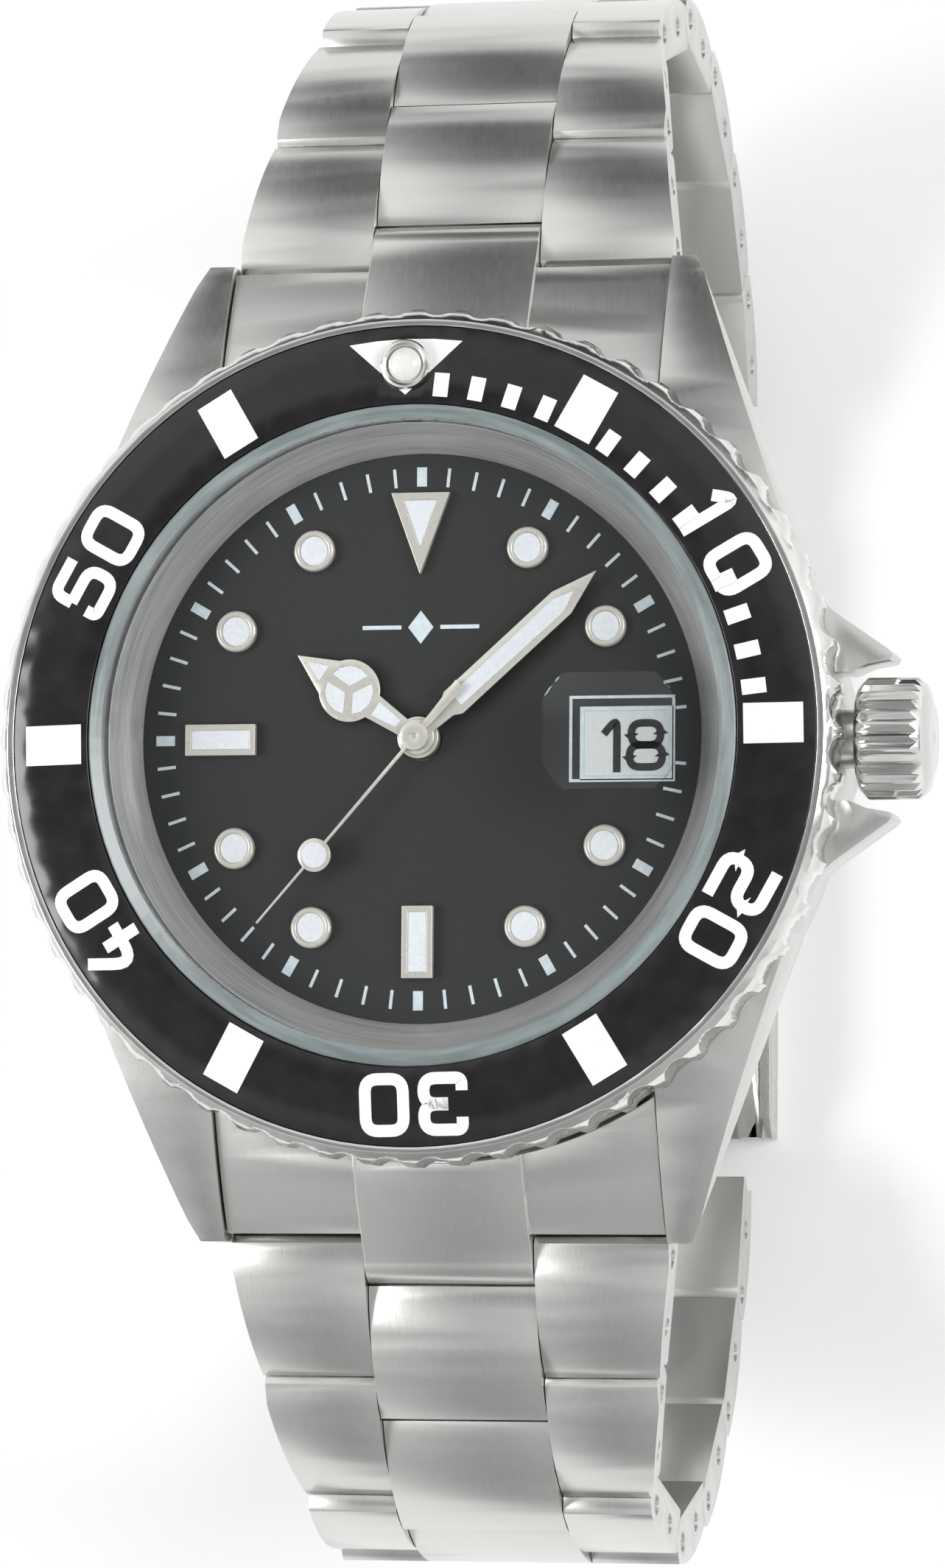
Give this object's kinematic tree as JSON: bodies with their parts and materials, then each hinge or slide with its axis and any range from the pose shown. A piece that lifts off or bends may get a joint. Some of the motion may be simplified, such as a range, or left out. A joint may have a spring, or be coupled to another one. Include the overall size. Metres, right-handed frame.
{
  "type": "wristwatch",
  "caption": "Diver-style automatic wristwatch with turning bezel, date window, screw crown and a closed three-link steel bracelet with folding clasp.",
  "frame": {"origin": "centre of the case back's outer face", "axes": "+Z out of the dial, +X to 3 o'clock and the crown, +Y to 12 o'clock"},
  "size_m": [0.0446, 0.079, 0.049],
  "materials": {
    "case_steel": "finely brushed top faces, polished flanks",
    "bezel_steel": "polished",
    "bracelet_steel": "brushed lengthwise",
    "clasp_steel": "brushed lengthwise",
    "movement_steel": "fine machined",
    "hand_steel": "polished",
    "rehaut": "circular brushed",
    "crystal": "clear polished",
    "crystal_gasket": "smooth",
    "gasket": "matt",
    "bezel_insert": "gloss black with silver markings",
    "lume": "satin",
    "dial": "smooth black lacquer",
    "date_disc": "matt white",
    "holder": "moulded",
    "movement_plate": "nickel plated, grained",
    "movement_brass": "gilt",
    "blued_steel": "heat blued",
    "rotor": "circular grained"
  },
  "bodies": {
    "head": {"case_body": "case_steel", "case_back": "case_steel", "case_back_gasket": "gasket", "crystal": "crystal", "crystal_gasket": "crystal_gasket", "date_magnifier": "crystal", "rehaut_ring": "rehaut", "bezel_click_spring": "movement_steel", "dial": "dial", "hour_markers": "hand_steel", "movement_holder": "holder", "main_plate": "movement_plate", "train_bridge": "movement_plate", "balance_cock": "movement_plate", "bridge_screws": "blued_steel", "hairspring": "blued_steel", "crown_tube": "movement_steel", "lug_spring_bars": "movement_steel", "end_link_12": "case_steel", "end_link_6": "case_steel"},
    "bezel": {"bezel_ring": "bezel_steel", "bezel_insert": "bezel_insert", "bezel_pip": "lume"},
    "seconds": {"second_hand": "hand_steel"},
    "minutes": {"minute_hand": "hand_steel"},
    "hours": {"hour_hand": "hand_steel"},
    "third": {"third_wheel": "movement_brass"},
    "barrel": {"mainspring_barrel": "movement_brass"},
    "motion_wheel": {"minute_wheel": "movement_brass"},
    "escape": {"escape_wheel": "movement_brass"},
    "fork": {"pallet_fork": "movement_steel"},
    "balance": {"balance_wheel": "movement_brass"},
    "date": {"date_wheel": "date_disc"},
    "rotor": {"rotor": "rotor"},
    "winding": {"winding_pinion": "movement_steel"},
    "crown": {"crown": "bezel_steel", "stem": "movement_steel"},
    "row_12_1": {"row_12_1": "bracelet_steel"},
    "row_12_2": {"row_12_2": "bracelet_steel"},
    "row_12_3": {"row_12_3": "bracelet_steel"},
    "row_12_4": {"row_12_4": "bracelet_steel"},
    "row_12_5": {"row_12_5": "bracelet_steel"},
    "row_12_6": {"row_12_6": "bracelet_steel"},
    "row_12_7": {"row_12_7": "bracelet_steel"},
    "row_12_8": {"row_12_8": "bracelet_steel", "clasp_spring_bar": "movement_steel"},
    "row_6_1": {"row_6_1": "bracelet_steel"},
    "row_6_2": {"row_6_2": "bracelet_steel"},
    "row_6_3": {"row_6_3": "bracelet_steel"},
    "row_6_4": {"row_6_4": "bracelet_steel"},
    "row_6_5": {"row_6_5": "bracelet_steel"},
    "row_6_6": {"row_6_6": "bracelet_steel"},
    "row_6_7": {"row_6_7": "bracelet_steel"},
    "blade_short": {"clasp_blade_short": "clasp_steel"},
    "blade_long": {"clasp_blade_long": "clasp_steel"},
    "cover": {"clasp_cover": "clasp_steel"},
    "latch": {"safety_latch": "clasp_steel"}
  },
  "joints": [
    {"name": "bezel_turn", "type": "hinge", "parent": "head", "child": "bezel", "pos_m": [0, 0, 0.009], "axis": [0, 0, 1], "continuous": true},
    {"name": "seconds_turn", "type": "hinge", "parent": "head", "child": "seconds", "pos_m": [0, 0, 0.009], "axis": [0, 0, 1], "continuous": true},
    {"name": "minutes_turn", "type": "hinge", "parent": "head", "child": "minutes", "pos_m": [0, 0, 0.009], "axis": [0, 0, 1], "continuous": true},
    {"name": "hours_turn", "type": "hinge", "parent": "head", "child": "hours", "pos_m": [0, 0, 0.009], "axis": [0, 0, 1], "continuous": true},
    {"name": "third_turn", "type": "hinge", "parent": "head", "child": "third", "pos_m": [0.00522, -0.0014, 0.004], "axis": [0, 0, 1], "continuous": true},
    {"name": "barrel_turn", "type": "hinge", "parent": "head", "child": "barrel", "pos_m": [-0.00467, 0.00391, 0.005], "axis": [0, 0, 1], "continuous": true},
    {"name": "motion_turn", "type": "hinge", "parent": "head", "child": "motion_wheel", "pos_m": [0.0026, 0.0015, 0.0076], "axis": [0, 0, 1], "continuous": true},
    {"name": "escape_turn", "type": "hinge", "parent": "head", "child": "escape", "pos_m": [-0.00096, -0.00542, 0.005], "axis": [0, 0, 1], "continuous": true},
    {"name": "fork_rock", "type": "hinge", "parent": "head", "child": "fork", "pos_m": [-0.00434, -0.00506, 0.005], "axis": [0, 0, 1], "range_deg": [-3, 3]},
    {"name": "balance_swing", "type": "hinge", "parent": "head", "child": "balance", "pos_m": [-0.00755, -0.00472, 0.004], "axis": [0, 0, 1], "range_deg": [-270, 270], "stiffness_Nm_per_rad": 0.000002},
    {"name": "date_turn", "type": "hinge", "parent": "head", "child": "date", "pos_m": [0, 0, 0.0078], "axis": [0, 0, 1], "continuous": true},
    {"name": "rotor_spin", "type": "hinge", "parent": "head", "child": "rotor", "pos_m": [0, 0, 0.0013], "axis": [0, 0, 1], "continuous": true},
    {"name": "crown_turn", "type": "hinge", "parent": "head", "child": "winding", "pos_m": [0.011, 0, 0.0053], "axis": [1, 0, 0], "continuous": true},
    {"name": "crown_pull", "type": "slide", "parent": "winding", "child": "crown", "axis": [1, 0, 0], "range_m": [0, 0.0018]},
    {"name": "row_12_1_bend", "type": "hinge", "parent": "head", "child": "row_12_1", "pos_m": [0, 0.0245, 0.0004], "axis": [1, 0, 0], "range_deg": [0, 32]},
    {"name": "row_12_2_bend", "type": "hinge", "parent": "row_12_1", "child": "row_12_2", "pos_m": [0, 0.03099, -0.00249], "axis": [1, 0, 0], "range_deg": [0, 24]},
    {"name": "row_12_3_bend", "type": "hinge", "parent": "row_12_2", "child": "row_12_3", "pos_m": [0, 0.03643, -0.00705], "axis": [1, 0, 0], "range_deg": [0, 42]},
    {"name": "row_12_4_bend", "type": "hinge", "parent": "row_12_3", "child": "row_12_4", "pos_m": [0, 0.03838, -0.01388], "axis": [1, 0, 0], "range_deg": [0, 38]},
    {"name": "row_12_5_bend", "type": "hinge", "parent": "row_12_4", "child": "row_12_5", "pos_m": [0, 0.03666, -0.02077], "axis": [1, 0, 0], "range_deg": [0, 32]},
    {"name": "row_12_6_bend", "type": "hinge", "parent": "row_12_5", "child": "row_12_6", "pos_m": [0, 0.03229, -0.02636], "axis": [1, 0, 0], "range_deg": [0, 25]},
    {"name": "row_12_7_bend", "type": "hinge", "parent": "row_12_6", "child": "row_12_7", "pos_m": [0, 0.02648, -0.03043], "axis": [1, 0, 0], "range_deg": [0, 23]},
    {"name": "row_12_8_bend", "type": "hinge", "parent": "row_12_7", "child": "row_12_8", "pos_m": [0, 0.01981, -0.03286], "axis": [1, 0, 0], "range_deg": [0, 20]},
    {"name": "row_6_1_bend", "type": "hinge", "parent": "head", "child": "row_6_1", "pos_m": [0, -0.0245, 0.0004], "axis": [-1, 0, 0], "range_deg": [0, 32]},
    {"name": "row_6_2_bend", "type": "hinge", "parent": "row_6_1", "child": "row_6_2", "pos_m": [0, -0.03099, -0.00249], "axis": [-1, 0, 0], "range_deg": [0, 24]},
    {"name": "row_6_3_bend", "type": "hinge", "parent": "row_6_2", "child": "row_6_3", "pos_m": [0, -0.03643, -0.00705], "axis": [-1, 0, 0], "range_deg": [0, 42]},
    {"name": "row_6_4_bend", "type": "hinge", "parent": "row_6_3", "child": "row_6_4", "pos_m": [0, -0.03838, -0.01388], "axis": [-1, 0, 0], "range_deg": [0, 40]},
    {"name": "row_6_5_bend", "type": "hinge", "parent": "row_6_4", "child": "row_6_5", "pos_m": [0, -0.03643, -0.0207], "axis": [-1, 0, 0], "range_deg": [0, 32]},
    {"name": "row_6_6_bend", "type": "hinge", "parent": "row_6_5", "child": "row_6_6", "pos_m": [0, -0.03186, -0.02614], "axis": [-1, 0, 0], "range_deg": [0, 26]},
    {"name": "row_6_7_bend", "type": "hinge", "parent": "row_6_6", "child": "row_6_7", "pos_m": [0, -0.02584, -0.0299], "axis": [-1, 0, 0], "range_deg": [0, 23]},
    {"name": "clasp_row_pivot", "type": "hinge", "parent": "row_6_7", "child": "blade_short", "pos_m": [0, -0.01905, -0.03198], "axis": [-1, 0, 0], "range_deg": [0, 60]},
    {"name": "blade_unfold", "type": "hinge", "parent": "blade_short", "child": "blade_long", "pos_m": [0, 0.00797, -0.03405], "axis": [1, 0, 0], "range_deg": [0, 120]},
    {"name": "cover_open", "type": "hinge", "parent": "blade_long", "child": "cover", "pos_m": [0, -0.01535, -0.03485], "axis": [-1, 0, 0], "range_deg": [0, 60]},
    {"name": "latch_open", "type": "hinge", "parent": "cover", "child": "latch", "pos_m": [0, -0.00555, -0.035], "axis": [1, 0, 0], "range_deg": [0, 75]}
  ],
  "couplings": [
    {"joint": "minutes_turn", "follows": "seconds_turn", "ratio": 0.016667},
    {"joint": "hours_turn", "follows": "seconds_turn", "ratio": 0.0013889},
    {"joint": "third_turn", "follows": "seconds_turn", "ratio": -0.13333},
    {"joint": "barrel_turn", "follows": "seconds_turn", "ratio": -0.0027778},
    {"joint": "motion_turn", "follows": "seconds_turn", "ratio": -0.0055556},
    {"joint": "escape_turn", "follows": "seconds_turn", "ratio": -10}
  ]
}
